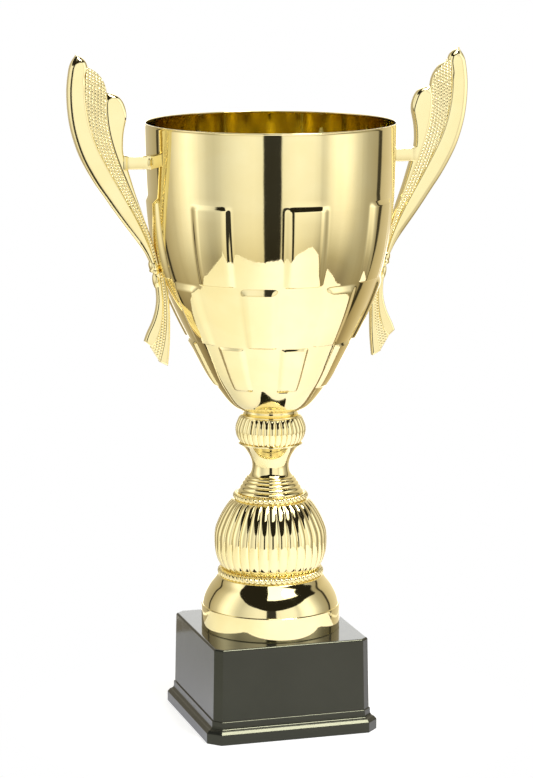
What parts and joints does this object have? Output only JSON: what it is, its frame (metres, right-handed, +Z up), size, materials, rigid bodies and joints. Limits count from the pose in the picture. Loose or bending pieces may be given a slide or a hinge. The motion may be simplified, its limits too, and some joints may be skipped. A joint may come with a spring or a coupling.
{
  "type": "cup trophy",
  "caption": "Tall two-handled presentation cup with a chequer-pressed bowl, fluted knops, beaded rings, a domed foot and a stepped square plinth.",
  "frame": {"origin": "centre of the plinth's underside, on the surface it stands on", "axes": "+Z up along the stem towards the rim; X runs through the two handles; -Y is the front face of the plinth"},
  "size_m": [0.3332, 0.2034, 0.5495],
  "materials": {
    "gold_sheet": "mirror-polished pale gold plated sheet",
    "gold_moulding": "vacuum-metallised plastic, mirror pale gold",
    "handle_gold": "vacuum-metallised plastic, bright pale gold",
    "black_plinth": "glossy moulded black",
    "zinc_steel": "bright zinc plated",
    "ballast_iron": "rough cast, painted",
    "cover_board": "smooth hardboard",
    "felt": "pressed green felt"
  },
  "bodies": {
    "root": {"bowl": "gold_sheet", "bowl_washer": "zinc_steel", "bowl_nut": "zinc_steel", "bowl_collar": "gold_moulding", "upper_knop": "gold_moulding", "neck": "gold_moulding", "upper_bead_ring": "gold_moulding", "main_knop": "gold_moulding", "lower_bead_ring": "gold_moulding", "foot_dome": "gold_moulding", "plinth": "black_plinth", "ballast": "ballast_iron", "base_washer": "zinc_steel", "base_nut": "zinc_steel", "tie_rod": "zinc_steel", "base_cover": "cover_board", "cover_screws": "zinc_steel", "base_felt": "felt", "left_handle": "handle_gold", "right_handle": "handle_gold", "handle_screws": "zinc_steel", "handle_washers": "zinc_steel"}
  },
  "joints": []
}
